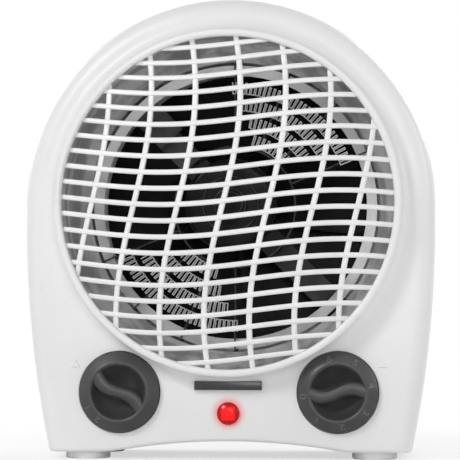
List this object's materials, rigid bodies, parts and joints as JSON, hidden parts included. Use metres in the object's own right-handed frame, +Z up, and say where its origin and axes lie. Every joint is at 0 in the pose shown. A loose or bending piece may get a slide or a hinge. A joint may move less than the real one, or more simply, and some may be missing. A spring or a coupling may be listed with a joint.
{
  "type": "fan heater",
  "caption": "Upright arched fan heater with a domed wavy-bar outlet grille, folded-ribbon element, two control knobs and a red pilot lamp.",
  "frame": {"origin": "on the floor, under the middle of the heater's box", "axes": "+X to the viewer's right, the front with grille and knobs faces -Y, +Z up"},
  "size_m": [0.22, 0.125, 0.2465],
  "materials": {
    "white_housing": "fine satin moulded plastic",
    "white_grille": "satin moulded plastic",
    "grey_knob": "satin dark grey plastic",
    "foot_rubber": "matt light grey rubber",
    "red_lens": "clear red plastic",
    "lamp_glass": "clear glass",
    "duct_steel": "galvanised sheet",
    "ring_steel": "bright sheet steel",
    "mica": "layered mica sheet",
    "ribbon_alloy": "bright resistance ribbon",
    "black_plastic": "glossy black plastic",
    "motor_steel": "zinc-plated steel",
    "bush_bronze": "sintered bronze",
    "magnet": "ferrite",
    "core_steel": "stacked electrical sheet",
    "copper": "enamelled copper wire",
    "carbon": "carbon",
    "board": "laminate board",
    "shaft_steel": "ground steel",
    "control_body": "moulded phenolic",
    "screw_steel": "zinc-plated steel",
    "cutout_metal": "plain aluminium",
    "block_plastic": "cream moulded plastic"
  },
  "bodies": {
    "housing": {"front_housing": "white_housing", "rear_housing": "white_housing", "front_grille": "white_grille", "rear_grille": "white_grille", "air_duct": "duct_steel", "element_ring": "ring_steel", "mica_plates": "mica", "mica_inner_band": "mica", "ribbon_upper": "ribbon_alloy", "ribbon_lower": "ribbon_alloy", "cutout_bracket": "motor_steel", "thermal_cutout": "cutout_metal", "thermal_fuse": "cutout_metal", "motor_can": "motor_steel", "motor_end_bell": "black_plastic", "motor_bushes": "bush_bronze", "motor_magnets": "magnet", "motor_brushes": "carbon", "motor_cap": "black_plastic", "motor_bracket": "motor_steel", "rectifier_board": "board", "mode_switch": "control_body", "thermostat": "control_body", "thermostat_bimetal": "bush_bronze", "indicator_lens": "red_lens", "indicator_lamp": "lamp_glass", "terminal_block": "block_plastic", "cord_gland": "black_plastic", "housing_screws": "screw_steel", "duct_screws": "screw_steel", "control_screws": "screw_steel", "motor_screws": "screw_steel", "bracket_screws": "screw_steel", "foot_front_left": "foot_rubber", "foot_front_right": "foot_rubber", "foot_rear_left": "foot_rubber", "foot_rear_right": "foot_rubber"},
    "fan": {"fan_impeller": "black_plastic", "fan_clip": "shaft_steel", "motor_shaft": "shaft_steel", "armature_core": "core_steel", "armature_winding": "copper", "commutator": "copper"},
    "mode_dial": {"mode_knob": "grey_knob", "mode_shaft": "shaft_steel"},
    "thermostat_dial": {"thermostat_knob": "grey_knob", "thermostat_shaft": "shaft_steel"}
  },
  "joints": [
    {"name": "fan_spin", "type": "hinge", "parent": "housing", "child": "fan", "pos_m": [0, 0.04, 0.1365], "axis": [0, -1, 0], "continuous": true},
    {"name": "mode_turn", "type": "hinge", "parent": "housing", "child": "mode_dial", "pos_m": [-0.0583, -0.0375, 0.0358], "axis": [0, -1, 0], "range_deg": [-85, 0]},
    {"name": "thermostat_turn", "type": "hinge", "parent": "housing", "child": "thermostat_dial", "pos_m": [0.0583, -0.0375, 0.0358], "axis": [0, -1, 0], "range_deg": [-72, 205]}
  ]
}
